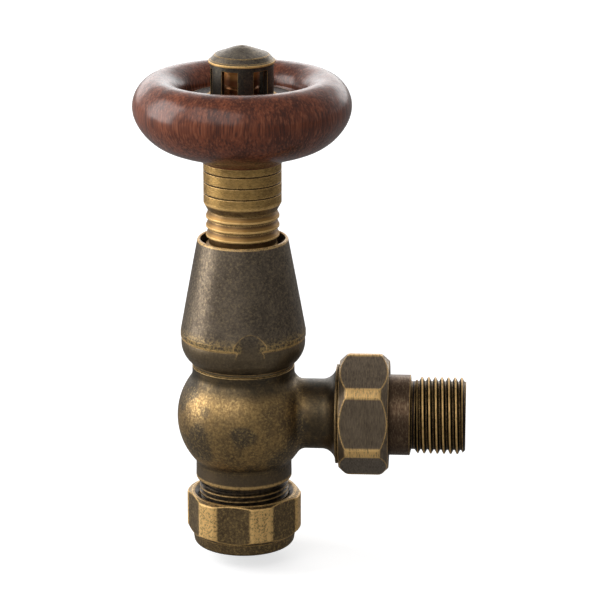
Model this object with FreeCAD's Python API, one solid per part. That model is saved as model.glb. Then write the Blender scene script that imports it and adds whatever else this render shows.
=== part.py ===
"""A traditional angled radiator valve with a thermostatic head, as an assembly of separate pieces.

Water comes in at the bottom through a 15 mm compression joint, passes the seat inside a round forged body,
and leaves sideways through a union and a tail that screws into the radiator. A wooden wheel above turns a
graduated, threaded stem in the tapered head housing. The stem carries a thermostatic sensor, whose rod
presses the spindle of the insert below, and so the rubber washer, towards the seat.

Millimetres, +Z up, and the tail points along +X. Heights below are measured from the point where the pipe
axis (Z) meets the tail axis (X). The pieces are saved with the origin at the pipe's end stop, at PIPE_STOP.
Threads are right-handed helices. A thread that turns in another shares its lead and phase with it.
"""

import FreeCAD
import Part

import math
import os

from FreeCAD import Vector

OUT = "parts"

# ---------------------------------------------------------------- driving dimensions
GAP = 0.05  # radial play of a part that slides or turns in another
FIXED_GAP = 0.02  # radial play of parts that are screwed or pressed together for good

# forged body
GLOBE_R = 18.2
GLOBE_Z = -0.6
NECK_R = 14.0  # waist between the globe and the head housing
NECK_FILLET = 3.0
NECK_TOP = 14.0  # the head housing lands here
BOSS_R = 12.0  # threaded boss inside the head housing
BOSS_TOP = 24.0
BOSS_BORE_R = 8.5
CHAMBER_R = 9.5
CHAMBER_TOP = 12.0
SEAT_Z = -4.0
SEAT_BORE_R = 5.5
COLLAR_R = 13.2  # plain ring between the globe and the lower thread
COLLAR_FILLET = 1.6
COLLAR_BOTTOM = -18.4
INLET_THREAD_R = 12.3
INLET_PITCH = 1.5
INLET_END = -29.6
PIPE_BORE_R = 7.6  # for a 15 mm copper pipe
PIPE_STOP = -15.5
BRANCH_R = 9.6  # side branch to the union
BRANCH_BORE_R = 6.5
BRANCH_FILLET = 2.6
UNION_THREAD_R = 13.1
UNION_SHOULDER = 26.1  # where the flare behind the union nut ends
UNION_FLANGE_R = 13.6
UNION_FLARE = 3.9
SPIGOT_END = 34.0
PIPE_PITCH = 1.814  # 14 threads to the inch

# union
UNION_NUT_AF = 30.0
UNION_NUT_TURNED_R = 16.75  # the hexagon's corners are turned down to this
UNION_NUT_START = 26.4
UNION_NUT_END = 40.0
UNION_NUT_TILT = -8.0  # degrees from a flat facing -Y
UNION_WASHER_T = 1.2
TAIL_FLANGE_T = 2.4
TAIL_FLANGE_R = 12.6
TAIL_SHANK_R = 11.05
TAIL_THREAD_R = 10.48  # half-inch pipe thread
TAIL_THREAD_START = 46.2
TAIL_END = 61.0
TAIL_BORE_R = 5.6
TAIL_KEY_AF = 12.0  # hexagon inside the tail, for the key that screws it in
TAIL_KEY_DEPTH = 11.0

# compression joint
COMPRESSION_NUT_AF = 29.4
COMPRESSION_NUT_TURNED_R = 15.75
COMPRESSION_NUT_TOP = -22.5
COMPRESSION_HEX_BOTTOM = -33.9
COMPRESSION_NUT_BOTTOM = -37.4
COMPRESSION_SKIRT_R = 14.25
COMPRESSION_NUT_TILT = -7.5  # degrees from a flat facing -Y
OLIVE_R = 8.95
OLIVE_TOP = -27.9
OLIVE_BOTTOM = -33.1

# head housing, a tapered bell
BELL_BAND_Z = 22.2  # the ridge round its widest part
BELL_R = 17.1
BELL_BOTTOM_R = 14.0
BELL_MOUTH_Z = 49.8
BELL_MOUTH_R = 12.35
BELL_MOUTH_BORE_R = 11.6
BELL_MOUTH_FLOOR = 45.0
BELL_THREAD_BOTTOM = 36.0
BELL_CAVITY_R = 12.2
BELL_CAVITY_BOTTOM = 24.2
FLAT_DISTANCE = 16.5  # each spanner flat's distance from the axis
FLAT_WIDTH = 9.2
FLAT_ANGLES = (-79.5, 100.5)  # degrees about Z from +X

# stem, wheel and cage: the parts that turn with the wheel
STEM_R = 10.55
STEM_ROOT_R = 9.35
STEM_CREST_R = 9.95
STEM_RELIEF_R = 9.2
STEM_SHOULDER = 71.2  # the wheel sits here
STEM_NECK_R = 9.5  # through the wheel
STEM_TOP = 89.4
STEM_SLEEVE_BOTTOM = 58.0
STEM_RIDGES = (56.1, 53.5, 50.9)  # plain rings between the sleeve and the thread
STEM_THREAD_TOP = 48.6
STEM_BOTTOM = 33.4
STEM_LEAD = 2.6
SCRIBED_LINES = (69.0, 65.9, 62.8)
STEM_WIDE_BORE_R = 7.3
STEM_LEDGE = 68.0
STEM_ROD_BORE_R = 2.6
WHEEL_R = 29.4
WHEEL_FLOOR = 87.6  # bottom of the wheel's hollow, where the wheel nut sits
CAGE_R = 8.55
CAGE_BORE_R = 6.9
CAGE_BARS = 6
CAGE_BAR_WIDTH = 4.0
CAGE_BAR_ANGLE = -79.0
CAGE_TOP = 98.3
CAGE_SLOT_BOTTOM = 85.0
CAP_R = 8.95
CAP_TOP = 102.9

# sensor
CAPSULE_R = 4.7
CAPSULE_TOP = 93.2
CAPSULE_FLANGE_R = 6.5
CAPSULE_FLANGE_T = 1.8
CUP_TOP = 97.85
ROD_R = 2.0
ROD_TOP = 74.0
ROD_BOTTOM = 33.6

# insert with spindle and washer
SPINDLE_R = 1.5
VALVE_LIFT = 3.22  # washer face above the seat, at rest
WASHER_R = 7.0
WASHER_T = 2.4
HOUSING_THREAD_R = 8.45
HOUSING_NOSE_BOTTOM = 8.0
HOUSING_FLOOR = 10.0
HOUSING_CAVITY_R = 4.6
HOUSING_HEX_TOP = 27.2
HOUSING_HEX_AF = 17.0
GLAND_BOTTOM = 22.0
GLAND_HEX_TOP = 30.0
GLAND_HEX_AF = 10.0
GLAND_THREAD_R = 5.5
SPRING_MEAN_R = 3.2
SPRING_WIRE_R = 0.4
CLIP_Z = 20.0

X_AXIS = Vector(1, 0, 0)
Z_AXIS = Vector(0, 0, 1)
ORIGIN = Vector(0, 0, 0)


# ---------------------------------------------------------------- shape helpers
def corner_arc(before, corner, after, radius):
    """Start point and arc of a rounded corner of an outline."""
    to_before = (before - corner).normalize()
    to_after = (after - corner).normalize()
    half = to_before.getAngle(to_after) / 2
    reach = radius / math.tan(half)
    start = corner + to_before * reach
    end = corner + to_after * reach
    bisector = (to_before + to_after).normalize()
    centre = corner + bisector * (radius / math.sin(half))
    middle = centre - bisector * radius
    return start, end, Part.Arc(start, middle, end).toShape()


def outline(points):
    """Closed wire in the XZ plane through (r, z) or (r, z, corner radius) points."""
    corners = [Vector(p[0], 0, p[1]) for p in points]
    radii = [p[2] if len(p) > 2 else 0 for p in points]
    count = len(points)
    ends = []
    arcs = []
    for i in range(count):
        if radii[i]:
            start, end, arc = corner_arc(corners[i - 1], corners[i], corners[(i + 1) % count], radii[i])
            ends.append((start, end))
            arcs.append(arc)
        else:
            ends.append((corners[i], corners[i]))
            arcs.append(None)
    edges = []
    for i in range(count):
        if arcs[i]:
            edges.append(arcs[i])
        leaving = ends[i][1]
        arriving = ends[(i + 1) % count][0]
        if leaving.distanceToPoint(arriving) > 1e-6:
            edges.append(Part.makeLine(leaving, arriving))
    return Part.Wire(edges)


def turned(points):
    """Solid of revolution about Z of an outline of (r, z) points."""
    return Part.Face(outline(points)).revolve(ORIGIN, Z_AXIS, 360)


def along_x(shape):
    """Turns a shape modelled along +Z so that it lies along +X, with its +X side facing down."""
    return shape.rotated(ORIGIN, Vector(0, 1, 0), 90)


def rod(radius, z_low, z_high):
    return Part.makeCylinder(radius, z_high - z_low, Vector(0, 0, z_low))


def ring(centre_r, section_r, z):
    return Part.makeTorus(centre_r, section_r, Vector(0, 0, z))


def hexagon(across_flats, z_low, z_high, first_corner=0.0):
    """Hexagonal prism about Z."""
    corner_r = across_flats / math.sqrt(3)
    angles = [math.radians(first_corner + 60 * i) for i in range(7)]
    points = [Vector(corner_r * math.cos(a), corner_r * math.sin(a), z_low) for a in angles]
    return Part.Face(Part.makePolygon(points)).extrude(Vector(0, 0, z_high - z_low))


def helix_wire(lead, height, radius):
    """Right-handed helix from the +X side, one edge for each turn."""
    edges = []
    for i in range(math.ceil(height / lead - 1e-6)):
        turn = Part.makeHelix(lead, min(lead, height - i * lead), radius)
        turn.translate(Vector(0, 0, i * lead))
        edges += turn.Edges
    return Part.Wire(edges)


def helical(section, lead, z_low, z_high, phase=0.0):
    """Sweeps a closed section of (r, offset along Z) points along a right-handed helix about Z.

    phase is the height at which the helix would cross the +X side, so parts with one phase are in mesh.
    """
    middle_r = sum(p[0] for p in section) / len(section)
    corners = [Vector(p[0], 0, p[1]) for p in section]
    wire = Part.makePolygon(corners + corners[:1])
    swept = helix_wire(lead, z_high - z_low, middle_r).makePipeShell([wire], True, True)
    swept.rotate(ORIGIN, Z_AXIS, 360 * (z_low - phase) / lead)
    swept.translate(Vector(0, 0, z_low))
    return swept


def outside_thread(blank, root_r, crest_r, lead, z_low, z_high, root_width, crest_width, phase=0.0):
    """Cuts a helical groove, narrow at the root, into a turned blank between two heights."""
    beyond = 0.15
    slope = (crest_width - root_width) / 2 / (crest_r - root_r)
    widest = crest_width / 2 + slope * beyond
    section = [
        (root_r, -root_width / 2),
        (root_r, root_width / 2),
        (crest_r + beyond, widest),
        (crest_r + beyond, -widest),
    ]
    return blank.cut(helical(section, lead, z_low, z_high, phase))


def inside_thread(blank, minor_r, major_r, lead, z_low, z_high, minor_width, major_width, phase=0.0):
    """Cuts a helical groove into the wall of a bore between two heights."""
    beyond = 0.15
    slope = (minor_width - major_width) / 2 / (major_r - minor_r)
    widest = minor_width / 2 + slope * beyond
    section = [
        (minor_r - beyond, -widest),
        (minor_r - beyond, widest),
        (major_r, major_width / 2),
        (major_r, -major_width / 2),
    ]
    return blank.cut(helical(section, lead, z_low, z_high, phase))


def coil(mean_r, wire_r, z_low, z_high, turns):
    """Compression spring with open ends, filling the height between two faces."""
    height = z_high - z_low - 2 * wire_r
    circle = Part.Wire(Part.makeCircle(wire_r, Vector(mean_r, 0, 0), Vector(0, 1, 0)))
    wire = helix_wire(height / turns, height, mean_r).makePipeShell([circle], True, True)
    wire.translate(Vector(0, 0, z_low + wire_r))
    return wire


def nut_blank(across_flats, turned_r, z_low, z_high, rise_low, rise_high, tilt, softening=0):
    """Hexagon whose corners are turned to a cylinder and whose ends are coned to the given rise."""
    face_r = across_flats / 2 - 0.3
    blank = turned([
        (0, z_low),
        (face_r, z_low),
        (turned_r, z_low + rise_low, softening),
        (turned_r, z_high - rise_high, softening),
        (face_r, z_high),
        (0, z_high),
    ])
    return blank.common(hexagon(across_flats, z_low, z_high, tilt))


# ---------------------------------------------------------------- fixed parts
def valve_body():
    """Forged globe with a threaded boss on top, a threaded inlet below and a threaded spigot to the side."""
    relief = 1.2
    inlet_relief_r = INLET_THREAD_R - 1.1
    boss_relief_r = BOSS_R - 0.6
    globe = Part.makeSphere(GLOBE_R, Vector(0, 0, GLOBE_Z))
    column = turned([
        (0, INLET_END),
        (INLET_THREAD_R - 1.0, INLET_END),
        (INLET_THREAD_R, INLET_END + 1.0),
        (INLET_THREAD_R, COLLAR_BOTTOM - relief),
        (inlet_relief_r, COLLAR_BOTTOM - relief),
        (inlet_relief_r, COLLAR_BOTTOM),
        (COLLAR_R, COLLAR_BOTTOM, 0.6),
        (COLLAR_R - 0.2, GLOBE_Z),
        (NECK_R, GLOBE_Z),
        (NECK_R, NECK_TOP),
        (boss_relief_r, NECK_TOP),
        (boss_relief_r, NECK_TOP + relief),
        (BOSS_R, NECK_TOP + relief),
        (BOSS_R, BOSS_TOP - 0.8),
        (BOSS_R - 0.8, BOSS_TOP),
        (0, BOSS_TOP),
    ])
    column = column.fuse(globe)
    column = fillet_seam(column, GLOBE_Z + math.sqrt(GLOBE_R**2 - NECK_R**2), NECK_FILLET)
    column = fillet_seam(column, GLOBE_Z - math.sqrt(GLOBE_R**2 - COLLAR_R**2), COLLAR_FILLET)

    branch = along_x(turned([
        (0, 4.0),
        (BRANCH_R, 4.0),
        (BRANCH_R, UNION_SHOULDER - 0.6, UNION_FLARE),
        (UNION_FLANGE_R, UNION_SHOULDER - 0.6),
        (UNION_FLANGE_R, UNION_SHOULDER),
        (UNION_THREAD_R - 1.2, UNION_SHOULDER + 0.1),
        (UNION_THREAD_R - 1.2, UNION_SHOULDER + 1.1),
        (UNION_THREAD_R, UNION_SHOULDER + 1.1),
        (UNION_THREAD_R, SPIGOT_END - 0.8),
        (UNION_THREAD_R - 0.8, SPIGOT_END),
        (0, SPIGOT_END),
    ]))
    body = column.fuse(branch)
    body = fillet_branch(body)

    body = body.cut(turned([
        (0, INLET_END - 1),
        (OLIVE_R + 1.75, INLET_END - 1),
        (PIPE_BORE_R, INLET_END + 2.2),
        (PIPE_BORE_R, PIPE_STOP),
        (SEAT_BORE_R, PIPE_STOP + 1.0),
        (SEAT_BORE_R, SEAT_Z - 0.2),
        (SEAT_BORE_R + 0.2, SEAT_Z),
        (SEAT_BORE_R + 0.9, SEAT_Z),
        (SEAT_BORE_R + 1.3, SEAT_Z - 1.2),
        (CHAMBER_R, SEAT_Z - 1.2),
        (CHAMBER_R, CHAMBER_TOP),
        (BOSS_BORE_R, CHAMBER_TOP + 1.0),
        (BOSS_BORE_R, BOSS_TOP + 1),
        (0, BOSS_TOP + 1),
    ]))
    bore_start = CHAMBER_R - 1.5
    bore = Part.makeCylinder(BRANCH_BORE_R, SPIGOT_END - bore_start + 1, Vector(bore_start, 0, 0), X_AXIS)
    body = body.cut(bore)

    body = outside_thread(
        body, INLET_THREAD_R - 0.9, INLET_THREAD_R, INLET_PITCH,
        INLET_END - 1, COLLAR_BOTTOM - 0.2, 0.3, 1.2,
    )
    threaded = outside_thread(
        body.rotated(ORIGIN, Vector(0, 1, 0), -90), UNION_THREAD_R - 1.1, UNION_THREAD_R, PIPE_PITCH,
        UNION_SHOULDER + 0.2, SPIGOT_END + 1, 0.35, 1.45,
    )
    return along_x(threaded)


def fillet_seam(shape, z, radius):
    """Rounds the round edge that lies at one height."""
    seam = []
    for edge in shape.Edges:
        box = edge.BoundBox
        if abs(box.ZMin - z) < 0.5 and abs(box.ZMax - z) < 0.5:
            seam.append(edge)
    return shape.makeFillet(radius, seam)


def fillet_branch(body):
    """Rounds the edge where the side branch leaves the globe."""
    seam = []
    for edge in body.Edges:
        box = edge.BoundBox
        if box.XMin > 12 and box.XMax < GLOBE_R and box.YLength > BRANCH_R - 1 and box.ZLength > BRANCH_R:
            seam.append(edge)
    return body.makeFillet(BRANCH_FILLET, seam)


def head_housing():
    """Tapered bell screwed onto the body's boss. The stem turns in the thread in its upper half."""
    band_low = NECK_TOP + 0.1
    outside = [
        Vector(BELL_MOUTH_BORE_R, 0, BELL_MOUTH_Z),
        Vector(BELL_MOUTH_R - 0.25, 0, BELL_MOUTH_Z),
        Vector(BELL_MOUTH_R, 0, BELL_MOUTH_Z - 0.35),
    ]
    taper = Part.Arc(
        Vector(BELL_MOUTH_R, 0, BELL_MOUTH_Z - 0.35),
        Vector(15.25, 0, 34.0),
        Vector(BELL_R, 0, BELL_BAND_Z + 1.6),
    ).toShape()
    band = Part.Arc(
        Vector(BELL_R - 0.3, 0, BELL_BAND_Z),
        Vector(16.15, 0, 17.5),
        Vector(BELL_BOTTOM_R + 0.4, 0, band_low + 1.2),
    ).toShape()
    edges = Part.makePolygon(outside).Edges + [taper]
    edges += Part.makePolygon([
        Vector(BELL_R, 0, BELL_BAND_Z + 1.6),
        Vector(BELL_R, 0, BELL_BAND_Z + 0.3),
        Vector(BELL_R - 0.3, 0, BELL_BAND_Z),
    ]).Edges
    edges.append(band)
    thread_r = BOSS_R + FIXED_GAP
    edges += Part.makePolygon([
        Vector(BELL_BOTTOM_R + 0.4, 0, band_low + 1.2),
        Vector(BELL_BOTTOM_R, 0, band_low + 1.0),
        Vector(BELL_BOTTOM_R - 0.2, 0, band_low),
        Vector(thread_r, 0, band_low),
        Vector(thread_r, 0, BELL_CAVITY_BOTTOM),
        Vector(BELL_CAVITY_R, 0, BELL_CAVITY_BOTTOM + 0.3),
        Vector(BELL_CAVITY_R, 0, BELL_THREAD_BOTTOM - 1.0),
        Vector(STEM_ROOT_R + 0.2 + 1.0, 0, BELL_THREAD_BOTTOM),
        Vector(STEM_ROOT_R + 0.2, 0, BELL_THREAD_BOTTOM),
        Vector(STEM_ROOT_R + 0.2, 0, BELL_MOUTH_FLOOR),
        Vector(BELL_MOUTH_BORE_R, 0, BELL_MOUTH_FLOOR + 0.6),
        Vector(BELL_MOUTH_BORE_R, 0, BELL_MOUTH_Z),
    ]).Edges
    bell = Part.Face(Part.Wire(edges)).revolve(ORIGIN, Z_AXIS, 360)
    bell = inside_thread(
        bell, STEM_ROOT_R + 0.2, STEM_CREST_R + 0.2, STEM_LEAD,
        BELL_THREAD_BOTTOM - 1, BELL_MOUTH_FLOOR + 1, 1.5, 0.9,
    )
    for angle in FLAT_ANGLES:
        bell = bell.cut(spanner_flat().rotated(ORIGIN, Z_AXIS, angle))
    return bell


def spanner_flat():
    """Cutter for one spanner flat facing +X: upright above, and following the rim's curve inwards below."""
    outer = BELL_R + 3
    side = Part.makePolygon([
        Vector(FLAT_DISTANCE, 0, BELL_BAND_Z + 12),
        Vector(FLAT_DISTANCE, 0, BELL_BAND_Z - 2.2),
        Vector(FLAT_DISTANCE - 1.1, 0, BELL_BAND_Z - 4.8),
        Vector(BELL_BOTTOM_R, 0, NECK_TOP + 1.3),
        Vector(outer, 0, NECK_TOP + 1.3),
        Vector(outer, 0, BELL_BAND_Z + 12),
        Vector(FLAT_DISTANCE, 0, BELL_BAND_Z + 12),
    ])
    cutter = Part.Face(side).extrude(Vector(0, FLAT_WIDTH, 0))
    cutter.translate(Vector(0, -FLAT_WIDTH / 2, 0))
    return cutter


def insert_housing():
    """Screws into the boss. Its hollow holds the return spring, and its floor guides the spindle."""
    groove_z = 13.6
    shell = turned([
        (SPINDLE_R + GAP, HOUSING_NOSE_BOTTOM),
        (8.3, HOUSING_NOSE_BOTTOM, 0.5),
        (8.3, groove_z - 0.8),
        (7.2, groove_z - 0.8),
        (7.2, groove_z + 0.8),
        (HOUSING_THREAD_R, groove_z + 0.8),
        (HOUSING_THREAD_R, BOSS_TOP),
        (HOUSING_HEX_AF, BOSS_TOP),
        (HOUSING_HEX_AF, HOUSING_HEX_TOP),
        (GLAND_THREAD_R + FIXED_GAP, HOUSING_HEX_TOP),
        (GLAND_THREAD_R + FIXED_GAP, GLAND_BOTTOM),
        (HOUSING_CAVITY_R, GLAND_BOTTOM),
        (HOUSING_CAVITY_R, HOUSING_FLOOR),
        (SPINDLE_R + GAP, HOUSING_FLOOR),
    ])
    shank = rod(HOUSING_THREAD_R + 0.01, HOUSING_NOSE_BOTTOM - 1, BOSS_TOP)
    corners = nut_blank(
        HOUSING_HEX_AF, 9.6, BOSS_TOP - 0.01, HOUSING_HEX_TOP, 0, 0.9, 0)
    return shell.common(shank.fuse(corners))


def insert_o_ring():
    return ring(7.85, 0.62, 13.6)


def gland_nut():
    """Closes the insert's hollow and holds the spindle's seal."""
    shell = turned([
        (SPINDLE_R + GAP, GLAND_BOTTOM),
        (GLAND_THREAD_R, GLAND_BOTTOM, 0.4),
        (GLAND_THREAD_R, HOUSING_HEX_TOP),
        (GLAND_HEX_AF, HOUSING_HEX_TOP),
        (GLAND_HEX_AF, GLAND_HEX_TOP),
        (SPINDLE_R + GAP, GLAND_HEX_TOP),
        (SPINDLE_R + GAP, 25.9),
        (2.9, 25.9),
        (2.9, 24.5),
        (SPINDLE_R + GAP, 24.5),
    ])
    head = nut_blank(GLAND_HEX_AF, 5.6, HOUSING_HEX_TOP - 0.01, GLAND_HEX_TOP, 0, 0.6, 0)
    shank = rod(GLAND_THREAD_R + 0.01, GLAND_BOTTOM - 1, HOUSING_HEX_TOP)
    return shell.common(shank.fuse(head))


def gland_o_ring():
    return ring(2.2, 0.63, 25.2)


def return_spring():
    """Lifts the spindle, and so opens the valve."""
    return coil(SPRING_MEAN_R, SPRING_WIRE_R, HOUSING_FLOOR, CLIP_Z - 0.4, 6)


# ---------------------------------------------------------------- parts that rise and fall with the spindle
def push_rod():
    return turned([(0, ROD_BOTTOM), (ROD_R, ROD_BOTTOM, 0.4), (ROD_R, ROD_TOP, 0.3), (0, ROD_TOP)])


def washer_face():
    return SEAT_Z + VALVE_LIFT


def spindle():
    """Runs from the push rod to the washer, with a groove for the clip and a tapped lower end."""
    low = washer_face() + WASHER_T + 1.4
    return turned([
        (1.0, low),
        (SPINDLE_R, low),
        (SPINDLE_R, CLIP_Z - 0.4),
        (1.1, CLIP_Z - 0.4),
        (1.1, CLIP_Z + 0.4),
        (SPINDLE_R, CLIP_Z + 0.4),
        (SPINDLE_R, ROD_BOTTOM, 0.5),
        (0, ROD_BOTTOM),
        (0, low + 4.0),
        (1.0, low + 4.0),
    ])


def spindle_clip():
    """Ring with a gap, sprung into the spindle's groove. The return spring pushes up on it."""
    clip = turned([
        (1.12, CLIP_Z - 0.38),
        (4.2, CLIP_Z - 0.38, 0.2),
        (4.2, CLIP_Z + 0.38, 0.2),
        (1.12, CLIP_Z + 0.38),
    ])
    mouth = Part.makeBox(5, 1.4, 2, Vector(0, -0.7, CLIP_Z - 1))
    return clip.cut(mouth)


def disc_holder():
    """Brass cup on the spindle's end that backs the rubber washer."""
    face = washer_face()
    back = face + WASHER_T
    return turned([
        (1.02, back),
        (WASHER_R + FIXED_GAP, back),
        (WASHER_R + FIXED_GAP, face + 0.9),
        (WASHER_R + 0.8, face + 0.9),
        (WASHER_R + 0.8, back + 1.4, 0.5),
        (1.02, back + 1.4),
    ])


def disc_washer():
    face = washer_face()
    return turned([
        (1.1, face),
        (WASHER_R, face, 0.5),
        (WASHER_R, face + WASHER_T),
        (1.1, face + WASHER_T),
    ])


def disc_screw():
    """Holds the washer: a cheese head with a slot."""
    face = washer_face()
    screw = turned([
        (0, face - 1.0),
        (2.6, face - 1.0, 0.3),
        (2.6, face),
        (0.98, face),
        (0.98, face + WASHER_T + 5.2),
        (0, face + WASHER_T + 5.2),
    ])
    slot = Part.makeBox(6, 0.7, 0.55, Vector(-3, -0.35, face - 1.01))
    return screw.cut(slot)


# ---------------------------------------------------------------- sensor
def sensor_capsule():
    """Closed copper capsule. The rod slides in the bore at its lower end."""
    return turned([
        (ROD_R + GAP, STEM_LEDGE),
        (CAPSULE_FLANGE_R, STEM_LEDGE, 0.3),
        (CAPSULE_FLANGE_R, STEM_LEDGE + CAPSULE_FLANGE_T, 0.5),
        (CAPSULE_R, STEM_LEDGE + CAPSULE_FLANGE_T, 0.5),
        (CAPSULE_R, CAPSULE_TOP - 1.6),
        (CAPSULE_R - 0.5, CAPSULE_TOP - 1.0),
        (CAPSULE_R - 0.5, CAPSULE_TOP),
        (0, CAPSULE_TOP),
        (0, ROD_TOP + GAP),
        (ROD_R + GAP, ROD_TOP + GAP),
    ])


def overtravel_cup():
    """Inverted cup over the spring that lets the capsule give way once the valve has closed."""
    return turned([
        (0, CUP_TOP),
        (CAPSULE_R, CUP_TOP, 0.5),
        (CAPSULE_R, CAPSULE_TOP - 0.9),
        (CAPSULE_R - 0.45, CAPSULE_TOP - 0.9),
        (CAPSULE_R - 0.45, CUP_TOP - 0.6),
        (0, CUP_TOP - 0.6),
    ])


def overtravel_spring():
    return coil(3.4, 0.45, CAPSULE_TOP, CUP_TOP - 0.6, 3)


# ---------------------------------------------------------------- parts that turn with the wheel
def stem():
    """Graduated sleeve, ringed waist and coarse thread, bored for the cage, the capsule and the rod."""
    scribe = 0.32
    crest = 0.4
    slope = 1.8  # height over which a ridge widens towards its crest
    sleeve = [(STEM_NECK_R, STEM_TOP, 0.4), (STEM_NECK_R, STEM_SHOULDER), (STEM_R, STEM_SHOULDER)]
    for z in SCRIBED_LINES:
        sleeve += [(STEM_R, z + scribe / 2), (STEM_R - 0.3, z + scribe / 2)]
        sleeve += [(STEM_R - 0.3, z - scribe / 2), (STEM_R, z - scribe / 2)]
    sleeve += [
        (STEM_R, STEM_SLEEVE_BOTTOM + 2.0),
        (STEM_ROOT_R + 0.15, STEM_SLEEVE_BOTTOM),
    ]
    for z in STEM_RIDGES:
        sleeve += [(STEM_RELIEF_R, z + slope), (STEM_CREST_R, z + crest / 2)]
        sleeve += [(STEM_CREST_R, z - crest / 2), (STEM_RELIEF_R, z - crest)]
    sleeve += [
        (STEM_RELIEF_R, STEM_THREAD_TOP),
        (STEM_CREST_R, STEM_THREAD_TOP - 0.3),
        (STEM_CREST_R, 36.2),
        (STEM_RELIEF_R, 35.9),
        (STEM_RELIEF_R, 34.95),
        (8.75, 34.95),
        (8.75, 33.9),
        (STEM_RELIEF_R, 33.9),
        (STEM_RELIEF_R, STEM_BOTTOM, 0.2),
        (STEM_ROD_BORE_R, STEM_BOTTOM),
        (STEM_ROD_BORE_R, STEM_LEDGE),
        (STEM_WIDE_BORE_R, STEM_LEDGE),
        (STEM_WIDE_BORE_R, STEM_LEDGE + 3.0),
        (CAGE_R + FIXED_GAP, STEM_LEDGE + 3.0),
        (CAGE_R + FIXED_GAP, STEM_TOP),
    ]
    blank = turned(sleeve)
    return outside_thread(
        blank, STEM_ROOT_R, STEM_CREST_R, STEM_LEAD,
        34.6, STEM_THREAD_TOP + 0.3, 1.75, 2.15, STEM_LEAD / 2,
    )


def stem_stop_clip():
    """Split ring in the stem's lower groove. It stops the stem from unscrewing out of the housing."""
    clip = turned([
        (9.0, 33.95),
        (10.9, 33.95, 0.2),
        (10.9, 34.9, 0.2),
        (9.0, 34.9),
    ])
    mouth = Part.makeBox(5, 3.0, 3, Vector(8, -1.5, 33))
    return clip.cut(mouth)


def wheel_ring():
    """Turned wooden ring with a bowl-shaped underside and a hollow middle."""
    hub = STEM_NECK_R + FIXED_GAP
    wall_r = 16.5
    floor_r = wall_r - 0.4
    rim = Part.BSplineCurve()
    rim.interpolate([
        Vector(STEM_R + 1.2, 0, STEM_SHOULDER + 0.7),
        Vector(15.5, 0, 73.6),
        Vector(22.0, 0, 75.9),
        Vector(WHEEL_R - 2.3, 0, 80.3),
        Vector(WHEEL_R, 0, 86.4),
        Vector(WHEEL_R - 2.0, 0, 91.8),
        Vector(23.6, 0, 94.2),
        Vector(19.6, 0, 93.4),
        Vector(17.1, 0, 91.0),
        Vector(wall_r, 0, WHEEL_FLOOR + 1.2),
    ])
    edges = [
        Part.makeLine(Vector(hub, 0, WHEEL_FLOOR), Vector(hub, 0, STEM_SHOULDER)),
        Part.makeLine(Vector(hub, 0, STEM_SHOULDER), Vector(STEM_R + 0.25, 0, STEM_SHOULDER)),
        Part.makeLine(Vector(STEM_R + 0.25, 0, STEM_SHOULDER), Vector(STEM_R + 1.2, 0, STEM_SHOULDER + 0.7)),
        rim.toShape(),
        Part.makeLine(Vector(wall_r, 0, WHEEL_FLOOR + 1.2), Vector(floor_r, 0, WHEEL_FLOOR)),
        Part.makeLine(Vector(floor_r, 0, WHEEL_FLOOR), Vector(hub, 0, WHEEL_FLOOR)),
    ]
    return Part.Face(Part.Wire(edges)).revolve(ORIGIN, Z_AXIS, 360)


def wheel_nut():
    """Low round nut on the stem's upper end that clamps the wheel, with two holes for a pin spanner."""
    low = WHEEL_FLOOR
    nut = turned([
        (STEM_NECK_R + FIXED_GAP, low),
        (15.2, low),
        (15.2, low + 1.0, 0.3),
        (14.0, low + 1.0),
        (14.0, low + 1.6, 0.3),
        (STEM_NECK_R + FIXED_GAP, low + 1.6),
    ])
    for side in (-1, 1):
        nut = nut.cut(Part.makeCylinder(0.8, 3, Vector(side * 12.0, 0, low + 0.6)))
    return nut


def sensor_cage():
    """Tube with long slots, so that room air reaches the sensor."""
    tube = turned([
        (CAGE_BORE_R, STEM_LEDGE + 3.0),
        (CAGE_R, STEM_LEDGE + 3.0, 0.3),
        (CAGE_R, CAGE_TOP),
        (CAGE_BORE_R, CAGE_TOP),
    ])
    slot_angle = 360.0 / CAGE_BARS
    gap_width = 2 * CAGE_R * math.sin(math.radians(slot_angle / 2)) - CAGE_BAR_WIDTH
    for i in range(CAGE_BARS):
        slot = Part.makeBox(
            CAGE_R + 2, gap_width, CAGE_TOP - 1.2 - CAGE_SLOT_BOTTOM,
            Vector(0, -gap_width / 2, CAGE_SLOT_BOTTOM))
        slot = slot.rotated(ORIGIN, Z_AXIS, CAGE_BAR_ANGLE + slot_angle * (i + 0.5))
        tube = tube.cut(slot)
    return tube


def cage_cap():
    """Pointed cap with a thin brim, plugged into the cage's upper end."""
    plug_r = CAGE_BORE_R - FIXED_GAP
    return turned([
        (0, CAGE_TOP - 0.4),
        (plug_r - 1.6, CAGE_TOP - 0.4),
        (plug_r - 1.6, CAGE_TOP - 1.3),
        (plug_r, CAGE_TOP - 1.3),
        (plug_r, CAGE_TOP),
        (CAP_R - 0.1, CAGE_TOP),
        (CAP_R, CAGE_TOP + 0.15),
        (CAP_R, CAGE_TOP + 0.55),
        (CAP_R - 0.5, CAGE_TOP + 0.9),
        (7.3, CAGE_TOP + 2.2, 0.4),
        (2.2, CAP_TOP - 0.5, 3.0),
        (0, CAP_TOP),
    ])


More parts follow.
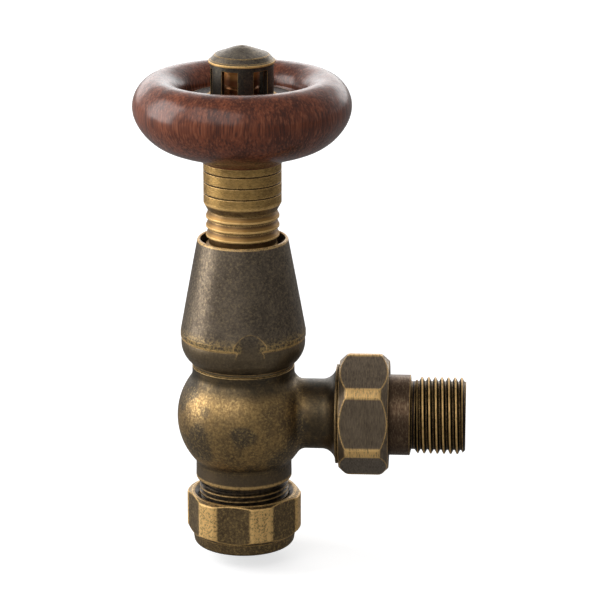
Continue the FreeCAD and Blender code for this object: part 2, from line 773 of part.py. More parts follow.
# ---------------------------------------------------------------- union and tail
def union_nut():
    """Hexagon nut laid along X. Its inner shoulder draws the tail's flange to the spigot."""
    blank = nut_blank(
        UNION_NUT_AF, UNION_NUT_TURNED_R, UNION_NUT_START, UNION_NUT_END, 2.2, 2.2, UNION_NUT_TILT, 2.0)
    bore_r = UNION_THREAD_R + 0.2 - 1.1
    flange_out = SPIGOT_END + UNION_WASHER_T + TAIL_FLANGE_T
    blank = blank.cut(turned([
        (0, UNION_NUT_START - 1),
        (UNION_THREAD_R + 0.9, UNION_NUT_START - 1),
        (UNION_THREAD_R + 0.5, UNION_NUT_START + 0.4),
        (bore_r, UNION_NUT_START + 1.4),
        (bore_r, SPIGOT_END + 0.6),
        (TAIL_FLANGE_R + 0.25, SPIGOT_END + 0.6),
        (TAIL_FLANGE_R + 0.25, flange_out),
        (TAIL_SHANK_R + 0.15, flange_out),
        (TAIL_SHANK_R + 0.15, UNION_NUT_END + 1),
        (0, UNION_NUT_END + 1),
    ]))
    nut = inside_thread(
        blank, bore_r, UNION_THREAD_R + 0.2, PIPE_PITCH,
        UNION_NUT_START - 1, SPIGOT_END + 0.7, 1.45, 0.4, PIPE_PITCH / 2,
    )
    return along_x(nut)


def union_washer():
    return along_x(turned([
        (BRANCH_BORE_R + 1.0, SPIGOT_END),
        (TAIL_FLANGE_R - 0.4, SPIGOT_END, 0.2),
        (TAIL_FLANGE_R - 0.4, SPIGOT_END + UNION_WASHER_T, 0.2),
        (BRANCH_BORE_R + 1.0, SPIGOT_END + UNION_WASHER_T),
    ]))


def tail_piece():
    """Flanged tail with a half-inch pipe thread and a hexagon bore for the fitting key."""
    flange = SPIGOT_END + UNION_WASHER_T
    relief_r = TAIL_THREAD_R - 1.15
    blank = turned([
        (TAIL_BORE_R + 0.9, flange),
        (TAIL_FLANGE_R, flange, 0.3),
        (TAIL_FLANGE_R, flange + TAIL_FLANGE_T, 0.3),
        (TAIL_SHANK_R, flange + TAIL_FLANGE_T),
        (TAIL_SHANK_R, TAIL_THREAD_START - 0.4),
        (relief_r, TAIL_THREAD_START),
        (relief_r, TAIL_THREAD_START + 0.9),
        (TAIL_THREAD_R, TAIL_THREAD_START + 1.8),
        (TAIL_THREAD_R, TAIL_END - 1.1),
        (TAIL_THREAD_R - 1.1, TAIL_END),
        (TAIL_BORE_R, TAIL_END),
        (TAIL_BORE_R, flange + 1.0),
    ])
    key = hexagon(TAIL_KEY_AF, TAIL_END - TAIL_KEY_DEPTH, TAIL_END + 1, 30)
    blank = blank.cut(key)
    threaded = outside_thread(
        blank, TAIL_THREAD_R - 1.1, TAIL_THREAD_R, PIPE_PITCH,
        TAIL_THREAD_START - 0.4, TAIL_END + 1, 0.35, 1.45,
    )
    return along_x(threaded)


# ---------------------------------------------------------------- compression joint
def olive():
    """Barrel-shaped ring that grips the pipe."""
    middle = (OLIVE_TOP + OLIVE_BOTTOM) / 2
    half = (OLIVE_TOP - OLIVE_BOTTOM) / 2
    return turned([
        (PIPE_BORE_R, middle - half),
        (PIPE_BORE_R + 0.35, middle - half),
        (OLIVE_R, middle - 0.9, 0.6),
        (OLIVE_R, middle + 0.9, 0.6),
        (PIPE_BORE_R + 0.35, middle + half),
        (PIPE_BORE_R, middle + half),
    ])


def compression_nut():
    """Hexagon nut with a round skirt below. The cone inside it squeezes the olive."""
    blank = nut_blank(
        COMPRESSION_NUT_AF, COMPRESSION_NUT_TURNED_R,
        COMPRESSION_HEX_BOTTOM, COMPRESSION_NUT_TOP, 1.2, 0.7, COMPRESSION_NUT_TILT, 0.3)
    skirt = turned([
        (0, COMPRESSION_NUT_BOTTOM),
        (COMPRESSION_SKIRT_R - 0.5, COMPRESSION_NUT_BOTTOM, 1.3),
        (COMPRESSION_SKIRT_R, COMPRESSION_HEX_BOTTOM + 0.2),
        (0, COMPRESSION_HEX_BOTTOM + 0.2),
    ])
    bore_r = INLET_THREAD_R + 0.2 - 0.9
    hollow = turned([
        (0, COMPRESSION_NUT_TOP + 1),
        (COMPRESSION_NUT_AF / 2 - 0.9, COMPRESSION_NUT_TOP + 1),
        (COMPRESSION_NUT_AF / 2 - 0.9, COMPRESSION_NUT_TOP - 0.2),
        (bore_r, COMPRESSION_NUT_TOP - 1.4),
        (bore_r, INLET_END - 0.4),
        (OLIVE_R + 0.45, INLET_END - 0.6),
        (OLIVE_R + 0.45, -31.6),
        (PIPE_BORE_R + 0.25, OLIVE_BOTTOM - 0.15),
        (PIPE_BORE_R, OLIVE_BOTTOM - 0.15),
        (PIPE_BORE_R, COMPRESSION_NUT_BOTTOM + 0.5),
        (PIPE_BORE_R + 0.5, COMPRESSION_NUT_BOTTOM),
        (PIPE_BORE_R + 0.5, COMPRESSION_NUT_BOTTOM - 1),
        (0, COMPRESSION_NUT_BOTTOM - 1),
    ])
    nut = blank.fuse(skirt).cut(hollow)
    return inside_thread(
        nut, bore_r, INLET_THREAD_R + 0.2, INLET_PITCH,
        INLET_END - 0.5, COMPRESSION_NUT_TOP + 1, 1.2, 0.3, INLET_PITCH / 2,
    )


PIECES = [
    valve_body, head_housing, insert_housing, insert_o_ring, gland_nut, gland_o_ring, return_spring,
    push_rod, spindle, spindle_clip, disc_holder, disc_washer, disc_screw,
    sensor_capsule, overtravel_cup, overtravel_spring,
    stem, stem_stop_clip, wheel_ring, wheel_nut, sensor_cage, cage_cap,
    union_nut, union_washer, tail_piece,
    olive, compression_nut,
]


def main():
    os.makedirs(OUT, exist_ok=True)
    for piece in PIECES:
        shape = piece()
        if not shape.isValid() or len(shape.Solids) != 1 or shape.Volume <= 0:
            raise ValueError(f"{piece.__name__} has {len(shape.Solids)} solids, valid {shape.isValid()}")
        placed = shape.Solids[0].translated(Vector(0, 0, -PIPE_STOP))
        placed.exportStep(os.path.join(OUT, piece.__name__ + ".step"))


main()
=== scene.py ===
"""Looks of a wheel-head radiator valve: aged brass, polished hardwood, copper, steel and rubber.

Every material is a node graph over object coordinates in millimetres, so grain has its real size.
"""
import math

import bpy
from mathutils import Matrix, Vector


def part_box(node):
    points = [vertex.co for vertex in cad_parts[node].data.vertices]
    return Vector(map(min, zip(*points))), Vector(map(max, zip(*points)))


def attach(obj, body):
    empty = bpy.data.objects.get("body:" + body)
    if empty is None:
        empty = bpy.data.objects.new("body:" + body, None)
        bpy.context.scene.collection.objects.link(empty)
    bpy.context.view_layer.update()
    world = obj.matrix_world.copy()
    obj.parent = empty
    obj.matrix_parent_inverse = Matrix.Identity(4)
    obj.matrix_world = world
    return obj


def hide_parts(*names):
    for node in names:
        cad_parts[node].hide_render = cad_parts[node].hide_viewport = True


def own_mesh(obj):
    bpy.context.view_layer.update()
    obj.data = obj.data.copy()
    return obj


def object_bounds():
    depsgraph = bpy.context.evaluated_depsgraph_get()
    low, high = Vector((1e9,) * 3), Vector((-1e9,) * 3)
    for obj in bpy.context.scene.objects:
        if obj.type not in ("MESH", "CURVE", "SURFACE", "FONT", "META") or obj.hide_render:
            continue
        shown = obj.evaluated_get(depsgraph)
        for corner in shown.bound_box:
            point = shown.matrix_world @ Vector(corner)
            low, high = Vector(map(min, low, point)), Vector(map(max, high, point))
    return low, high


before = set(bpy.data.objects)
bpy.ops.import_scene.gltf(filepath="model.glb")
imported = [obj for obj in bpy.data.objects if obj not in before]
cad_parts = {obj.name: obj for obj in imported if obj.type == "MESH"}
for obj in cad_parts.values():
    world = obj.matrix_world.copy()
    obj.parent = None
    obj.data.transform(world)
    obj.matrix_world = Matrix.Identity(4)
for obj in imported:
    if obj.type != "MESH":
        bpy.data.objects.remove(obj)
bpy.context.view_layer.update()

# Camera: a long lens in front of the valve, a little to its right and above it. Lengths in metres.
CAMERA_AT = (0.061, -0.806, 0.290)
CAMERA_AIM = (0.0155, 0.0, 0.0479)
LENS_MM = 186.0
SENSOR_MM = 36.0
NEAREST = 0.05
FARTHEST = 50.0

# The room's radiance in reflections, from its front to its back.
ROOM_FRONT = 0.25
ROOM_BACK = 0.95

# The lamps: name, place, width, height and radiance. Lengths in metres.
LAMPS = (
    ("key", (-1.0, 0.0, 0.34), 0.70, 1.05, 4.0),
    ("back", (0.0, 1.3, 0.42), 2.4, 0.6, 1.3),
    ("front", (-0.45, -0.9, 0.75), 1.1, 0.9, 1.4),
)

# The floor: paleness and glow to the camera, paleness in reflections, and size and gap in metres.
FLOOR_SEEN = 0.80
FLOOR_GLOW = 0.62
FLOOR_MIRRORED = 0.30
FLOOR_SIZE = 12.0
FLOOR_GAP = 0.0047  # room for the compression nut to come down when it is undone

# The return spring's height at rest, as a share of its solid's.
SPRING_RELEASED = 0.89

# Where finishes change on the valve: heights (Z), places along the tail (X) and radii (R), in mm.
TAIL_AXIS_Z = 15.5
BRANCH_START_X = 14.5
BRANCH_UNDER_Z = 13.5
NECK_START_Z = 22.0
COLLAR_TOP_Z = 2.2
COLLAR_EDGE_Z = -2.0
INLET_CREST_R = 12.24
INLET_LOW_Z = -16.0
BELL_FOOT_Z = 31.0
BELL_SKIRT_Z = 36.0
BELL_RIDGE_Z = 37.7
BELL_RIDGE_R = 17.0
SLEEVE_EDGE_Z = 75.7
SCRIBED_Z = (84.5, 81.4, 78.3)
WAIST_TOP_Z = 73.3
WAIST_ROOT_R = 9.34
WAIST_CREST_R = 9.92
CLAMP_HOLE_R = 13.6
CLAMP_CORNER_R = 15.5
UNION_HOLE_R = 12.9
UNION_CORNER_R = 16.6
TAIL_THREAD_X = 46.2
TAIL_CREST_R = 10.4
CAP_RIM_R = 8.88
CUP_TOP_Z = 111.8
CAPSULE_TOP_Z = 111.0


class Shader:
    """One node graph. Each method adds a node and returns the socket to use next."""

    def __init__(self, tree):
        self.tree = tree
        tree.nodes.clear()

    def node(self, kind, inputs, output=0, **settings):
        made = self.tree.nodes.new("ShaderNode" + kind)
        for key, value in settings.items():
            setattr(made, key, value)
        for key, value in inputs.items():
            if isinstance(value, bpy.types.NodeSocket):
                self.tree.links.new(value, made.inputs[key])
            else:
                made.inputs[key].default_value = value
        return made.outputs[output] if len(made.outputs) else None

    def millimetres(self):
        return self.stretch(self.node("TexCoord", {}, "Object"), (1000.0, 1000.0, 1000.0))

    def stretch(self, vector, scale):
        return self.node("VectorMath", {0: vector, 1: scale}, operation="MULTIPLY")

    def noise(self, vector, scale, detail=2.0, roughness=0.5):
        inputs = {"Vector": vector, "Scale": scale, "Detail": detail, "Roughness": roughness}
        return self.node("TexNoise", inputs, "Fac")

    def rise(self, value, low, high, start=0.0, end=1.0):
        inputs = {"Value": value, "From Min": low, "From Max": high, "To Min": start, "To Max": end}
        return self.node("MapRange", inputs, interpolation_type="SMOOTHSTEP")

    def calc(self, operation, a, b):
        return self.node("Math", {0: a, 1: b}, operation=operation)

    def blend(self, factor, a, b):
        return self.node("Mix", {0: factor, 6: a, 7: b}, 2, data_type="RGBA")

    def hollow(self, distance_mm):
        """1 in the open, towards 0 in grooves and corners."""
        return self.node("AmbientOcclusion", {"Distance": distance_mm / 1000.0}, "AO", samples=4)

    def edge(self, width_mm, low=0.03, high=0.16):
        """0 on open faces and in corners, towards 1 on outside edges and thin crests.

        It keeps the rounded normal in self.rounded.
        """
        self.rounded = self.node("Bevel", {"Radius": width_mm / 1000.0}, samples=6)
        plain = self.node("NewGeometry", {}, "Normal")
        pair = {0: self.rounded, 1: plain}
        same = self.node("VectorMath", pair, "Value", operation="DOT_PRODUCT")
        turn = self.calc("ARCCOSINE", self.calc("MINIMUM", same, 1.0), 0.0)
        near = {"Distance": 2.0 * width_mm / 1000.0}
        free = self.node("AmbientOcclusion", near, "AO", samples=4, only_local=True)
        return self.calc("MULTIPLY", self.rise(turn, low, high), self.rise(free, 0.62, 0.85))

    def along(self, vector, axis, start, end):
        """0 before start and 1 after end along one axis, in millimetres."""
        return self.rise(self.node("SeparateXYZ", {0: vector}, axis), start, end)

    def around(self, vector, centre, flat, start, end):
        """0 nearer than start to a line through centre, 1 beyond end. flat is 0 along the line."""
        offset = self.node("VectorMath", {0: vector, 1: centre}, operation="SUBTRACT")
        arm = self.stretch(offset, flat)
        distance = self.node("VectorMath", {0: arm}, "Value", operation="LENGTH")
        return self.rise(distance, start, end)

    def within(self, vector, line, start, end):
        """Along an axis by its letter, or outwards from a line given as (point, flat)."""
        if isinstance(line, str):
            return self.along(vector, line, start, end)
        return self.around(vector, *line, start, end)

    def share(self, amount, *factors):
        """amount times every factor."""
        for factor in factors:
            amount = self.calc("MULTIPLY", factor, amount)
        return amount

    def bump(self, height, depth_mm, normal=None):
        inputs = {"Height": height, "Distance": depth_mm / 1000.0}
        if normal is not None:
            inputs["Normal"] = normal
        return self.node("Bump", inputs)

    def surface(self, **inputs):
        named = {key.replace("_", " "): value for key, value in inputs.items()}
        principled = self.node("BsdfPrincipled", named)
        self.node("OutputMaterial", {"Surface": principled})


def material(name):
    made = bpy.data.materials.new(name)
    made.use_nodes = True
    return made, Shader(made.node_tree)


def colour(red, green, blue):
    return (red, green, blue, 1.0)


def scaled(tone, factor):
    return colour(*(min(1.0, part * factor) for part in tone[:3]))


RUBBED_BRASS_AND_HIGHLIGHT = colour(1.0, 0.63, 0.23)  # brass scuffed clean, also laid on edges, crests and rims as a painted highlight
GOLD = colour(0.84, 0.57, 0.22)
DULL_GOLD = colour(0.50, 0.38, 0.22)
GREY = colour(0.060, 0.051, 0.038)
BROWN = colour(0.17, 0.125, 0.080)
UMBER = colour(0.085, 0.045, 0.018)
# near black, painted as shade in nut holes and thread gaps
SHADE_BLACK = colour(0.018, 0.012, 0.009)
# near black, painted as shade in hollows and grooves
HOLLOW_SHADE = colour(0.008, 0.006, 0.005)

# The lines that rings of finish run round, as (point, flat).
UPRIGHT = ((0.0, 0.0, 0.0), (1.0, 1.0, 0.0))
LEVEL = ((0.0, 0.0, TAIL_AXIS_Z), (0.0, 1.0, 1.0))


def patina(
    name, dark, light, gold, speck=0.5, edge_wear_and_highlight=1.0, hollow_shade_amount=0.8, grain=(1.0, 1.0, 1.0), rough=0.4,
    edge_mm=0.45, hollow_shade_mm=2.5, blunt=0.03, dull_edges=(), zones=(), stains=0.0,
):
    """Aged brass: soft patches from dark to light, gold specks, bright edges that are partly
    scuffed brass and partly painted highlight, and hollows painted dark as shade.

    A zone is (tests, colour, amount, spread): the finish turns to colour where every test holds.
    A test is (axis letter or line, start, end). Edges keep their plain finish, without the bright
    scuffing and painted highlight, where both dull-edge tests hold.
    """
    made, s = material(name)
    at = s.millimetres()
    patches = s.rise(s.noise(at, 0.085, 3.0, 0.6), 0.36, 0.62)
    cloud = s.rise(s.noise(at, 0.45, 3.0, 0.6), 0.3, 0.7)
    fine = s.noise(s.stretch(at, grain), 1.5, 3.0, 0.75)
    base = s.blend(s.share(0.5, s.calc("ADD", patches, cloud)), dark, light)
    if stains:
        blots = s.rise(s.noise(at, 0.11, 1.0, 0.4), 0.52, 0.64)
        base = s.blend(s.share(stains, blots), base, colour(0.105, 0.090, 0.070))
    base = s.blend(s.share(speck, s.rise(fine, 0.50, 0.66)), base, gold)
    base = s.blend(s.share(0.5, s.rise(fine, 0.50, 0.32)), base, scaled(dark, 0.4))

    spreads = {
        "even": s.calc("ADD", s.share(0.25, cloud), 0.75),
        "sparse": s.rise(fine, 0.44, 0.58),
        # the patchy spread of bright edges, crests and rims: partly scuffed brass, partly painted
        # highlight
        "rubbed_and_lit": s.rise(fine, 0.34, 0.55, 0.25, 1.0),
    }
    shine = None
    for tests, tone, amount, spread in zones:
        share = s.share(amount, spreads[spread], *(s.within(at, *test) for test in tests))
        base = s.blend(share, base, tone)
        if tone == RUBBED_BRASS_AND_HIGHLIGHT:
            shine = s.calc("MAXIMUM", share, shine) if shine else share

    # Painted shade: hollows and grooves found by ambient occlusion are darkened towards near black.
    base = s.blend(s.share(hollow_shade_amount, s.rise(s.hollow(hollow_shade_mm), 0.82, 0.32)), base, HOLLOW_SHADE)
    broken = s.rise(s.noise(at, 1.3, 3.0, 0.75), 0.36, 0.54, 0.35, 1.0)
    edges = s.edge(edge_mm, blunt, blunt + 0.13)
    wear_and_highlight = s.share(edge_wear_and_highlight, s.calc("MULTIPLY", edges, broken))
    if dull_edges:
        kept = s.calc("MULTIPLY", *(s.within(at, *test) for test in dull_edges))
        wear_and_highlight = s.calc("MULTIPLY", wear_and_highlight, s.calc("SUBTRACT", 1.0, kept))
    # Outside edges and thin crests turn bright gold: partly scuffed brass, partly painted
    # highlight.
    base = s.blend(wear_and_highlight, base, RUBBED_BRASS_AND_HIGHLIGHT)
    # Bright edges and zones lose metal sheen so they stay light from every side, part of the
    # painted highlight.
    matt = s.calc("MAXIMUM", wear_and_highlight, shine) if shine else wear_and_highlight
    s.surface(
        Base_Color=base,
        Metallic=s.calc("SUBTRACT", 0.93, s.share(0.65, matt)),
        Roughness=s.rise(fine, 0.3, 0.7, rough + 0.1, rough - 0.06),
        Normal=s.bump(fine, 0.03, s.rounded),
    )
    return made


def wood(name):
    """Reddish hardwood with its grain along Z under a glossy lacquer."""
    made, s = material(name)
    at = s.millimetres()
    sway = s.noise(s.stretch(at, (0.10, 0.10, 0.05)), 1.0, 2.0)
    bent = s.node("VectorMath", {0: at, 1: s.stretch(sway, (3.0, 3.0, 0.0))}, operation="ADD")
    bands = s.rise(s.noise(s.stretch(bent, (0.17, 0.17, 0.020)), 1.0, 3.0, 0.6), 0.33, 0.66)
    streaks = s.noise(s.stretch(bent, (1.9, 1.9, 0.06)), 1.0, 3.0, 0.6)
    pores = s.rise(s.noise(s.stretch(at, (5.0, 5.0, 0.16)), 1.0, 2.0, 0.6), 0.60, 0.74)
    dark_streaks = s.share(0.7, s.rise(streaks, 0.50, 0.36))
    pale_streaks = s.share(0.55, s.rise(streaks, 0.52, 0.66))
    base = s.blend(bands, colour(0.105, 0.022, 0.008), colour(0.250, 0.062, 0.024))
    base = s.blend(dark_streaks, base, colour(0.050, 0.013, 0.007))
    base = s.blend(pale_streaks, base, colour(0.42, 0.14, 0.065))
    base = s.blend(s.share(0.3, pores), base, colour(0.040, 0.012, 0.007))
    s.surface(
        Base_Color=base,
        Roughness=s.rise(streaks, 0.3, 0.7, 0.55, 0.45),
        Specular_IOR_Level=0.15,
        Coat_Weight=0.9,
        Coat_Roughness=0.25,
        Normal=s.bump(streaks, 0.05),
        Coat_Normal=s.bump(s.noise(at, 0.10, 2.0), 0.5),
    )
    return made


def plain_metal(
    name, low, high, rough, turned=(1.0, 1.0, 6.0), edge_wear_and_highlight=0.3, hollow_shade_amount=0.6, metallic=1.0, fade=None,
):
    """A lightly used machined metal with turning marks, hollows painted darker as shade and edges
    brightened, partly as scuffing and partly as painted highlight. fade is (axis, start, end,
    colour).
    """
    made, s = material(name)
    at = s.millimetres()
    marks = s.noise(s.stretch(at, turned), 0.9, 3.0, 0.7)
    base = s.blend(s.rise(s.noise(at, 0.25, 3.0), 0.35, 0.65), low, high)
    if fade:
        base = s.blend(s.along(at, *fade[:3]), base, fade[3])
    # Painted shade: hollows found by ambient occlusion are darkened.
    base = s.blend(s.share(hollow_shade_amount, s.rise(s.hollow(1.5), 0.7, 0.2)), base, scaled(low, 0.2))
    # Edges are brightened: partly scuffing, partly painted highlight.
    base = s.blend(s.share(edge_wear_and_highlight, s.edge(0.3)), base, scaled(high, 1.3))
    s.surface(
        Base_Color=base,
        Metallic=metallic,
        Roughness=s.rise(marks, 0.3, 0.7, rough + 0.08, rough - 0.06),
        Normal=s.bump(marks, 0.015),
    )
    return made


def soft(name, low, high, rough, scale, depth_mm):
    """Rubber or pressed fibre: a matt, slightly grainy surface."""
    made, s = material(name)
    at = s.millimetres()
    grain = s.noise(at, scale, 3.0, 0.65)
    base = s.blend(s.rise(s.noise(at, 0.2, 2.0), 0.35, 0.65), low, high)
    base = s.blend(s.share(0.5, s.rise(grain, 0.55, 0.75)), base, scaled(high, 1.6))
    s.surface(
        Base_Color=base,
        Roughness=s.rise(grain, 0.3, 0.7, rough - 0.08, rough + 0.08),
        Normal=s.bump(grain, depth_mm),
    )
    return made


def studio():
    """A pale floor, a room that is dark in front and bright behind, and three soft lamps."""
    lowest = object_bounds()[0].z
    bpy.ops.mesh.primitive_plane_add(size=FLOOR_SIZE, location=(0.0, 0.0, lowest - FLOOR_GAP))
    floor = bpy.context.object
    floor.name = "floor"
    made, s = material("floor_paper")
    seen = s.node("LightPath", {}, "Is Camera Ray")
    fibre = s.noise(s.millimetres(), 0.02, 2.0)
    pale = s.rise(fibre, 0.3, 0.7, FLOOR_SEEN - 0.01, FLOOR_SEEN)
    grey = s.calc("MULTIPLY", s.calc("SUBTRACT", 1.0, seen), FLOOR_MIRRORED)
    tone = s.calc("ADD", s.calc("MULTIPLY", pale, seen), grey)
    glow = s.calc("MULTIPLY", seen, FLOOR_GLOW)
    s.surface(
        Base_Color=s.node("CombineColor", {0: tone, 1: tone, 2: tone}),
        Roughness=0.9,
        Specular_IOR_Level=0.0,
        Emission_Color=colour(1.0, 1.0, 1.0),
        Emission_Strength=glow,
    )
    floor.data.materials.append(made)

    world = bpy.data.worlds.new("room")
    world.use_nodes = True
    bpy.context.scene.world = world
    s = Shader(world.node_tree)
    way = s.node("SeparateXYZ", {0: s.node("TexCoord", {}, "Generated")}, "Y")
    depth = s.rise(way, 0.35, 0.95, ROOM_FRONT, ROOM_BACK)
    seen = s.node("LightPath", {}, "Is Camera Ray")
    level = s.calc("MAXIMUM", depth, seen)
    light = s.node("Background", {"Color": colour(1.0, 1.0, 1.0), "Strength": level})
    s.node("OutputWorld", {"Surface": light})

    for values in LAMPS:
        lamp(*values)


def aim(thing, place):
    """Puts a lamp or camera at place, facing the valve."""
    thing.location = place
    line = Vector(CAMERA_AIM) - Vector(place)
    thing.rotation_euler = line.to_track_quat("-Z", "Y").to_euler()


def lamp(name, place, width, height, radiance):
    """A soft box at place facing the valve. Its power gives the stated radiance."""
    data = bpy.data.lights.new(name, "AREA")
    data.shape = "RECTANGLE"
    data.size = width
    data.size_y = height
    data.energy = radiance * math.pi * width * height
    made = bpy.data.objects.new(name, data)
    bpy.context.scene.collection.objects.link(made)
    aim(made, place)
    made.visible_camera = False


def camera():
    data = bpy.data.cameras.new("camera")
    data.lens = LENS_MM
    data.sensor_width = SENSOR_MM
    data.clip_start = NEAREST
    data.clip_end = FARTHEST
    made = bpy.data.objects.new("camera", data)
    bpy.context.scene.collection.objects.link(made)
    aim(made, CAMERA_AT)
    bpy.context.scene.camera = made


def body_finish():
    """Golden globe, greyer towards the branch, greyer on the neck as painted shade under the bell,
    and a lower thread painted black as shade under the collar.
    """
    under_branch = [
        ("X", BRANCH_START_X + 5.5, BRANCH_START_X + 8.5),
        ("Z", BRANCH_UNDER_Z, BRANCH_UNDER_Z - 3.5),
    ]
    thread = ("Z", COLLAR_EDGE_Z - 0.6, COLLAR_EDGE_Z - 0.9)
    return patina(
        "brass_globe", colour(0.20, 0.135, 0.072), colour(0.50, 0.32, 0.13), GOLD,
        rough=0.42, stains=0.75, edge_wear_and_highlight=0.5,
        dull_edges=[
            ("Z", COLLAR_EDGE_Z - 0.4, COLLAR_EDGE_Z - 0.8),
            ("Z", INLET_LOW_Z, INLET_LOW_Z + 1.0),
        ],
        zones=(
            ([("X", BRANCH_START_X, BRANCH_START_X + 5.0)], GREY, 0.92, "even"),
            # Painted light: the underside of the branch is browner than its grey top, a painted
            # glow from below.
            (under_branch, colour(0.15, 0.09, 0.045), 0.5, "even"),
            # Painted shade: the globe's top just under the bell is greyed as the bell's shadow.
            ([("Z", NECK_START_Z, NECK_START_Z + 4.0)], GREY, 0.9, "even"),
            # Painted shade: a grey band in the groove above the collar.
            ([("Z", COLLAR_TOP_Z + 2.0, COLLAR_TOP_Z + 0.2)], GREY, 0.75, "even"),
            ([("Z", COLLAR_TOP_Z, 0.0)], BROWN, 0.7, "even"),
            # The collar's lower edge: partly scuffed brass, partly painted highlight.
            ([("Z", COLLAR_EDGE_Z + 0.5, COLLAR_EDGE_Z)], RUBBED_BRASS_AND_HIGHLIGHT, 0.6, "rubbed_and_lit"),
            # Painted shade: the thread under the collar is near black.
            ([("Z", COLLAR_EDGE_Z - 0.4, COLLAR_EDGE_Z - 0.9)], SHADE_BLACK, 0.97, "even"),
            # The thread crests: partly scuffed brass, partly painted highlight.
            ([thread, (UPRIGHT, INLET_CREST_R - 0.12, INLET_CREST_R)], RUBBED_BRASS_AND_HIGHLIGHT, 0.4, "rubbed_and_lit"),
        ))


def bell_finish():
    """Dark bell with gold along its ridge and sparks of it just above."""
    ridge = [
        ("Z", BELL_RIDGE_Z - 0.4, BELL_RIDGE_Z - 0.15),
        ("Z", BELL_RIDGE_Z + 0.45, BELL_RIDGE_Z + 0.15),
        (UPRIGHT, BELL_RIDGE_R - 0.1, BELL_RIDGE_R),
    ]
    sparks = [
        ("Z", BELL_RIDGE_Z - 0.4, BELL_RIDGE_Z + 0.1),
        ("Z", BELL_RIDGE_Z + 4.3, BELL_RIDGE_Z + 0.5),
        (UPRIGHT, BELL_RIDGE_R - 0.45, BELL_RIDGE_R - 0.25),
    ]
    return patina(
        "brass_bell", colour(0.135, 0.106, 0.078), colour(0.225, 0.178, 0.130), DULL_GOLD,
        speck=0.45, edge_mm=0.6, blunt=0.04,
        dull_edges=[
            ("Z", BELL_FOOT_Z - 0.6, BELL_FOOT_Z),
            ("Z", BELL_SKIRT_Z + 0.4, BELL_SKIRT_Z - 0.4),
        ],
        zones=(
            ([("Z", BELL_SKIRT_Z + 6.0, BELL_SKIRT_Z)], colour(0.23, 0.165, 0.085), 0.55, "even"),
            (sparks, GOLD, 0.6, "sparse"),
            # The ridge's gold band: partly scuffed brass, partly painted highlight.
            (ridge, RUBBED_BRASS_AND_HIGHLIGHT, 0.95, "rubbed_and_lit"),
        ))


def stem_finish():
    """Golden sleeve with dark scribed lines, and a browner ringed waist with bright crests."""
    scribes = [
        ([("Z", z - 0.42, z - 0.22), ("Z", z + 0.42, z + 0.22)], UMBER, 0.95, "even")
        for z in SCRIBED_Z
    ]
    waist = ("Z", WAIST_TOP_Z, WAIST_TOP_Z - 0.8)
    return patina(
        "brass_turned", colour(0.34, 0.20, 0.07), colour(0.78, 0.48, 0.16), GOLD,
        grain=(0.7, 0.7, 2.2), hollow_shade_mm=1.1, hollow_shade_amount=0.9, speck=0.6,
        zones=(
            *scribes,
            # The sleeve's lower edge: partly scuffed brass, partly painted highlight.
            ([("Z", SLEEVE_EDGE_Z + 0.7, SLEEVE_EDGE_Z)], RUBBED_BRASS_AND_HIGHLIGHT, 0.6, "rubbed_and_lit"),
            # Painted shadow: a dark band just below the sleeve.
            ([("Z", SLEEVE_EDGE_Z - 0.3, SLEEVE_EDGE_Z - 0.8)], UMBER, 0.9, "even"),
            ([waist], colour(0.44, 0.235, 0.065), 0.95, "even"),
            # Painted shade: the waist's thread roots are dark.
            ([waist, (UPRIGHT, WAIST_ROOT_R + 0.38, WAIST_ROOT_R)], UMBER, 0.85, "even"),
            # The waist's thread crests: partly scuffed brass, partly painted highlight.
            ([waist, (UPRIGHT, WAIST_CREST_R - 0.09, WAIST_CREST_R)], RUBBED_BRASS_AND_HIGHLIGHT, 1.0, "rubbed_and_lit"),
        ))


def nut_finishes():
    """Both nuts: a hole painted black as shade, and gold lands on the turned-down corners, partly
    scuffed brass and partly painted highlight.
    """
    clamp = patina(
        "brass_nut", colour(0.165, 0.112, 0.060), colour(0.29, 0.198, 0.097), GOLD,
        edge_mm=0.5,
        zones=(
            # Painted shade: the nut's hole is near black.
            ([(UPRIGHT, CLAMP_HOLE_R + 0.35, CLAMP_HOLE_R)], SHADE_BLACK, 0.93, "even"),
            # The lands: partly scuffed brass, partly painted highlight.
            ([(UPRIGHT, CLAMP_CORNER_R - 0.22, CLAMP_CORNER_R)], RUBBED_BRASS_AND_HIGHLIGHT, 1.0, "rubbed_and_lit"),
        ))
    union = patina(
        "brass_union", colour(0.18, 0.135, 0.092), colour(0.28, 0.215, 0.15), DULL_GOLD,
        speck=0.35, grain=(2.6, 0.35, 0.35), edge_mm=0.5,
        zones=(
            # Painted shade: the nut's hole is near black.
            ([(LEVEL, UNION_HOLE_R + 0.4, UNION_HOLE_R)], SHADE_BLACK, 0.9, "even"),
            # The lands: partly scuffed brass, partly painted highlight.
            ([(LEVEL, UNION_CORNER_R - 0.28, UNION_CORNER_R)], RUBBED_BRASS_AND_HIGHLIGHT, 1.0, "rubbed_and_lit"),
        ))
    return clamp, union


def tail_finish():
    """Red-brown shank and a thread painted black as shade, with bright crests that are partly
    scuffed brass and partly painted highlight.
    """
    thread = ("X", TAIL_THREAD_X - 0.3, TAIL_THREAD_X)
    return patina(
        "brass_tail", colour(0.108, 0.066, 0.042), colour(0.175, 0.108, 0.064), DULL_GOLD,
        speck=0.3, grain=(1.6, 0.6, 0.6), hollow_shade_mm=2.0, hollow_shade_amount=0.6, edge_wear_and_highlight=0.8, edge_mm=0.3,
        zones=(
            # Painted shade: the thread is near black.
            ([("X", TAIL_THREAD_X - 0.5, TAIL_THREAD_X)], SHADE_BLACK, 0.96, "even"),
            # The crests: partly scuffed brass, partly painted highlight.
            ([thread, (LEVEL, TAIL_CREST_R - 0.12, TAIL_CREST_R)], RUBBED_BRASS_AND_HIGHLIGHT, 0.95, "rubbed_and_lit"),
        ))


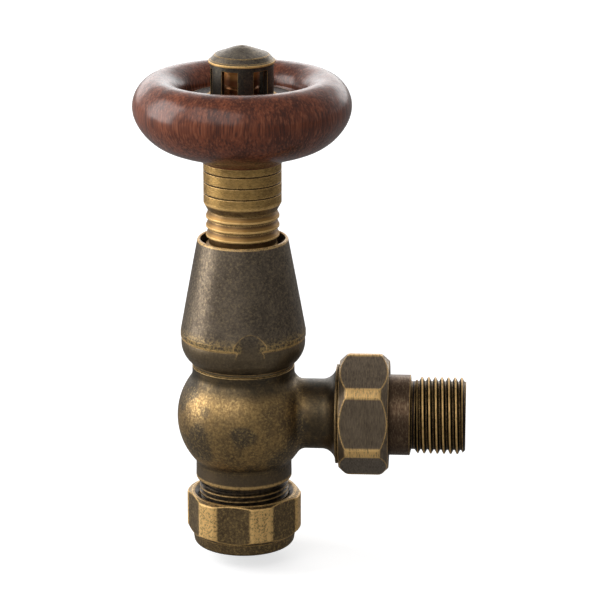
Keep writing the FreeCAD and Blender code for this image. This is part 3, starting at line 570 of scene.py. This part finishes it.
def finishes():
    """The finish of every CAD node."""
    clamp, union = nut_finishes()
    cage = patina(
        "brass_cage", colour(0.065, 0.060, 0.050), colour(0.12, 0.11, 0.09), DULL_GOLD,
        speck=0.15, edge_wear_and_highlight=0.5, edge_mm=0.22)
    cap = patina(
        "brass_cap", colour(0.15, 0.125, 0.10), colour(0.24, 0.20, 0.15), DULL_GOLD,
        # The cap's rim: partly scuffed brass, partly painted highlight.
        speck=0.3, zones=(([(UPRIGHT, CAP_RIM_R - 0.16, CAP_RIM_R)], RUBBED_BRASS_AND_HIGHLIGHT, 1.0, "rubbed_and_lit"),))
    plate = patina(
        "brass_plate", colour(0.05, 0.045, 0.045), colour(0.10, 0.085, 0.08), DULL_GOLD, speck=0.2)
    brass = plain_metal("brass_clean", colour(0.58, 0.40, 0.16), colour(0.76, 0.56, 0.26), 0.28)
    capsule = plain_metal(
        "copper_capsule", colour(0.72, 0.30, 0.10), colour(0.90, 0.42, 0.16), 0.32,
        turned=(0.8, 0.8, 4.0), hollow_shade_amount=0.3, metallic=0.8,
        # Painted shade: the capsule darkens towards its bottom inside the cage and wheel.
        fade=("Z", CAPSULE_TOP_Z, CAPSULE_TOP_Z - 4.5, colour(0.16, 0.055, 0.018)))
    # Painted light: the cup is a bright, mostly diffuse orange standing in for the light on its
    # top, and fades to dark below as painted shade.
    cup = plain_metal(
        "copper_cup", colour(1.0, 0.42, 0.11), colour(1.0, 0.52, 0.17), 0.35,
        edge_wear_and_highlight=0.1, hollow_shade_amount=0.1, metallic=0.2,
        fade=("Z", CUP_TOP_Z, CUP_TOP_Z - 2.8, colour(0.16, 0.05, 0.014)))
    steel = plain_metal("steel_bright", colour(0.42, 0.42, 0.43), colour(0.60, 0.60, 0.61), 0.25)
    rubber = soft(
        "rubber_black", colour(0.010, 0.010, 0.011), colour(0.022, 0.022, 0.024), 0.6, 3.0, 0.02)
    fibre = soft(
        "fibre_red", colour(0.20, 0.045, 0.030), colour(0.30, 0.075, 0.050), 0.8, 2.2, 0.04)
    given = {
        "valve_body": body_finish(),
        "head_housing": bell_finish(),
        "stem": stem_finish(),
        "compression_nut": clamp,
        "union_nut": union,
        "tail_piece": tail_finish(),
        "sensor_cage": cage,
        "cage_cap": cap,
        "wheel_nut": plate,
        "wheel_ring": wood("hardwood"),
        "sensor_capsule": capsule,
        "overtravel_cup": cup,
        "union_washer": fibre,
    }
    for node in ("insert_housing", "gland_nut", "disc_holder", "disc_screw", "olive"):
        given[node] = brass
    for node in (
        "push_rod", "spindle", "spindle_clip", "stem_stop_clip", "return_spring",
        "overtravel_spring",
    ):
        given[node] = steel
    for node in ("disc_washer", "insert_o_ring", "gland_o_ring"):
        given[node] = rubber
    return given


def return_coil(finish):
    """The return spring at its height at rest. It ends just below the clip."""
    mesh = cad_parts["return_spring"].data.copy()
    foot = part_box("return_spring")[0].z
    for vertex in mesh.vertices:
        vertex.co.z = foot + (vertex.co.z - foot) * SPRING_RELEASED
    coil = bpy.data.objects.new("return_coil", mesh)
    bpy.context.scene.collection.objects.link(coil)
    mesh.materials.clear()
    mesh.materials.append(finish)
    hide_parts("return_spring")
    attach(coil, "valve")
    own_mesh(coil)


given = finishes()
for node, finish in given.items():
    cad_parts[node].data.materials.clear()
    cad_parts[node].data.materials.append(finish)
return_coil(given["return_spring"])
studio()
camera()
bpy.context.scene.view_settings.view_transform = "Standard"
